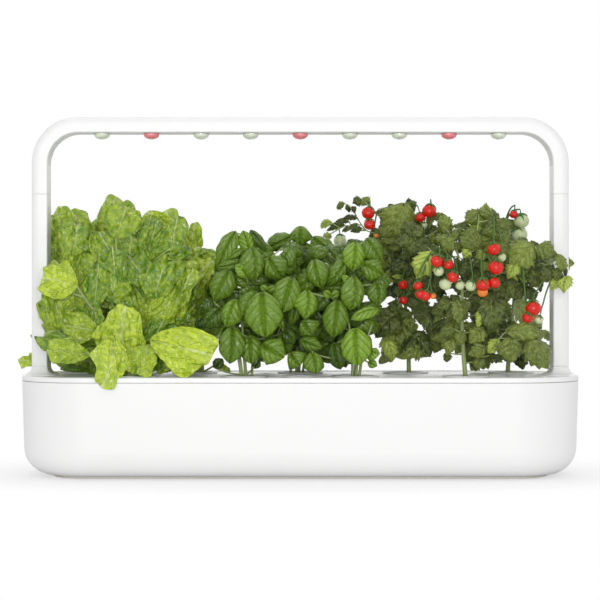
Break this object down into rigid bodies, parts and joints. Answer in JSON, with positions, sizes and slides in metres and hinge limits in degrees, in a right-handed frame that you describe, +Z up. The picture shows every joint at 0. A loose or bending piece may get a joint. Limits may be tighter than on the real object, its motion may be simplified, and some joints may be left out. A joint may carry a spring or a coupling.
{
  "type": "countertop hydroponic garden",
  "caption": "Indoor hydroponic garden: rounded white water tank with a tray lid, staggered plant pods of lettuce, basil and tomato, and an LED lamp arch on plug-in arms.",
  "frame": {"origin": "centre of the footprint, on the surface that the garden stands on", "axes": "+Z up, -Y to the front, +X along the length to the right as seen from the front"},
  "size_m": [0.6, 0.185, 0.389],
  "materials": {
    "white_plastic": "satin white moulded plastic",
    "cup_plastic": "matt white moulded plastic",
    "cover_plastic": "matt pale grey moulded plastic",
    "foot_rubber": "matt cream rubber",
    "float_plastic": "matt blue plastic foam",
    "soil": "dark fibrous growing sponge",
    "circuit_board": "green solder mask",
    "black_plastic": "matt black moulded plastic",
    "clear_lens": "clear moulded lens with a greenish tint",
    "red_lens": "red moulded lens",
    "lettuce_leaf": "bright yellow-green leaf with pale veins",
    "basil_leaf": "smooth mid-green leaf with a soft sheen",
    "tomato_leaf": "dull dark green leaf",
    "plant_stem": "pale green stem",
    "ripe_fruit": "glossy red fruit skin",
    "unripe_fruit": "glossy pale green fruit skin"
  },
  "bodies": {
    "tank": {"water_tank": "white_plastic", "foot_pad": "foot_rubber"},
    "lid": {"tray_lid": "white_plastic", "float_guide": "white_plastic"},
    "float": {"water_float": "float_plastic"},
    "pod_1": {"pod_cup_1": "cup_plastic", "soil_plug_1": "soil", "lettuce_plant_1": "lettuce_leaf"},
    "pod_2": {"pod_cup_2": "cup_plastic", "soil_plug_2": "soil", "lettuce_plant_2": "lettuce_leaf"},
    "pod_3": {"pod_cup_3": "cup_plastic", "soil_plug_3": "soil", "lettuce_plant_3": "lettuce_leaf"},
    "pod_4": {"pod_cup_4": "cup_plastic", "soil_plug_4": "soil", "basil_plant_4": "basil_leaf"},
    "pod_5": {"pod_cup_5": "cup_plastic", "soil_plug_5": "soil", "basil_plant_5": "basil_leaf"},
    "pod_6": {"pod_cup_6": "cup_plastic", "soil_plug_6": "soil", "basil_plant_6": "basil_leaf"},
    "pod_7": {"pod_cup_7": "cup_plastic", "soil_plug_7": "soil", "tomato_plant_7": "tomato_leaf"},
    "pod_8": {"pod_cup_8": "cup_plastic", "soil_plug_8": "soil", "tomato_plant_8": "tomato_leaf"},
    "pod_9": {"pod_cup_9": "cup_plastic", "soil_plug_9": "soil", "tomato_plant_9": "tomato_leaf"},
    "left_arm": {"left_arm": "white_plastic"},
    "right_arm": {"right_arm": "white_plastic"},
    "lamp": {"lamp_arch": "white_plastic", "lamp_cover": "cover_plastic", "lamp_board": "circuit_board", "timer_board": "circuit_board", "power_socket": "black_plastic", "lamp_lens_1": "clear_lens", "lamp_lens_2": "red_lens", "lamp_lens_3": "clear_lens", "lamp_lens_4": "clear_lens", "lamp_lens_5": "red_lens", "lamp_lens_6": "clear_lens", "lamp_lens_7": "clear_lens", "lamp_lens_8": "red_lens", "lamp_lens_9": "clear_lens"},
    "button": {"light_button": "white_plastic"}
  },
  "joints": [
    {"name": "lid_lift", "type": "slide", "parent": "tank", "child": "lid", "axis": [0, 0, 1], "range_m": [0, 0.1]},
    {"name": "float_rise", "type": "slide", "parent": "lid", "child": "float", "axis": [0, 0, 1], "range_m": [0, 0.03]},
    {"name": "pod_lift_1", "type": "slide", "parent": "lid", "child": "pod_1", "axis": [0, 0, 1], "range_m": [0, 0.05]},
    {"name": "pod_lift_2", "type": "slide", "parent": "lid", "child": "pod_2", "axis": [0, 0, 1], "range_m": [0, 0.05]},
    {"name": "pod_lift_3", "type": "slide", "parent": "lid", "child": "pod_3", "axis": [0, 0, 1], "range_m": [0, 0.05]},
    {"name": "pod_lift_4", "type": "slide", "parent": "lid", "child": "pod_4", "axis": [0, 0, 1], "range_m": [0, 0.05]},
    {"name": "pod_lift_5", "type": "slide", "parent": "lid", "child": "pod_5", "axis": [0, 0, 1], "range_m": [0, 0.05]},
    {"name": "pod_lift_6", "type": "slide", "parent": "lid", "child": "pod_6", "axis": [0, 0, 1], "range_m": [0, 0.05]},
    {"name": "pod_lift_7", "type": "slide", "parent": "lid", "child": "pod_7", "axis": [0, 0, 1], "range_m": [0, 0.05]},
    {"name": "pod_lift_8", "type": "slide", "parent": "lid", "child": "pod_8", "axis": [0, 0, 1], "range_m": [0, 0.05]},
    {"name": "pod_lift_9", "type": "slide", "parent": "lid", "child": "pod_9", "axis": [0, 0, 1], "range_m": [0, 0.05]},
    {"name": "left_arm_lift", "type": "slide", "parent": "lid", "child": "left_arm", "axis": [0, 0, 1], "range_m": [0, 0.03]},
    {"name": "right_arm_lift", "type": "slide", "parent": "lid", "child": "right_arm", "axis": [0, 0, 1], "range_m": [0, 0.03]},
    {"name": "arch_lift", "type": "slide", "parent": "left_arm", "child": "lamp", "axis": [0, 0, 1], "range_m": [0, 0.03]},
    {"name": "button_press", "type": "slide", "parent": "lamp", "child": "button", "axis": [0, -1, 0], "range_m": [0, 0.0015], "stiffness_N_per_m": 300}
  ],
  "couplings": [
    {"joint": "right_arm_lift", "follows": "left_arm_lift", "ratio": 1}
  ]
}
